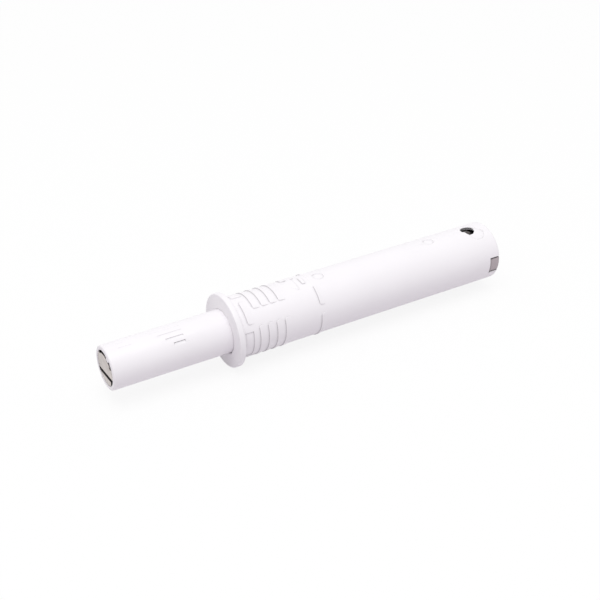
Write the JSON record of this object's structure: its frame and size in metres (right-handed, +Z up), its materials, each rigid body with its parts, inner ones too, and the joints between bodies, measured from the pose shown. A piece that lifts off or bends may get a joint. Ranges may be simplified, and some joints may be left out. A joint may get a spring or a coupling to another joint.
{
  "type": "magnetic push latch",
  "caption": "Drill-in magnetic push latch: a flanged, ribbed sleeve with a spring plunger that latches when pressed and holds a door with a magnet in its tip.",
  "frame": {"origin": "centre of the flange's seating face, on the latch's axis", "axes": "+X along the latch from the magnetic tip to the closed end, +Z up, side hole on top"},
  "size_m": [0.0701, 0.012, 0.012],
  "materials": {
    "white_plastic": "satin moulded",
    "plunger_plastic": "satin moulded",
    "grey_plastic": "matt moulded",
    "slider_plastic": "slippery, matt",
    "plated_steel": "plated, satin",
    "magnet": "dark, nickel worn",
    "spring_steel": "drawn wire"
  },
  "bodies": {
    "sleeve": {"housing": "white_plastic", "end_plug": "grey_plastic", "follower_leaf": "spring_steel", "return_spring": "spring_steel"},
    "slider": {"cam_slider": "slider_plastic"},
    "click": {"click_ring": "grey_plastic"},
    "plunger": {"plunger_tube": "plunger_plastic", "wide_pole_shoe": "plated_steel", "narrow_pole_shoe": "plated_steel", "magnet": "magnet"},
    "follower": {"follower_wire": "spring_steel"}
  },
  "joints": [
    {"name": "plunger_slide", "type": "slide", "parent": "sleeve", "child": "slider", "axis": [1, 0, 0], "range_m": [0, 0.018], "stiffness_N_per_m": 150, "springref_m": -0.02, "deforming": ["return_spring"]},
    {"name": "gap_travel", "type": "slide", "parent": "slider", "child": "click", "axis": [1, 0, 0], "range_m": [-0.004, 0.001]},
    {"name": "gap_turn", "type": "hinge", "parent": "click", "child": "plunger", "pos_m": [0, 0, 0], "axis": [1, 0, 0], "range_deg": [-288, 72]},
    {"name": "follower_swing", "type": "hinge", "parent": "sleeve", "child": "follower", "pos_m": [0.0483, 0, 0], "axis": [0, 0, 1], "range_deg": [0, 4.39]}
  ],
  "couplings": [
    {"joint": "gap_turn", "follows": "gap_travel", "rad_per_m": 1256.6}
  ]
}
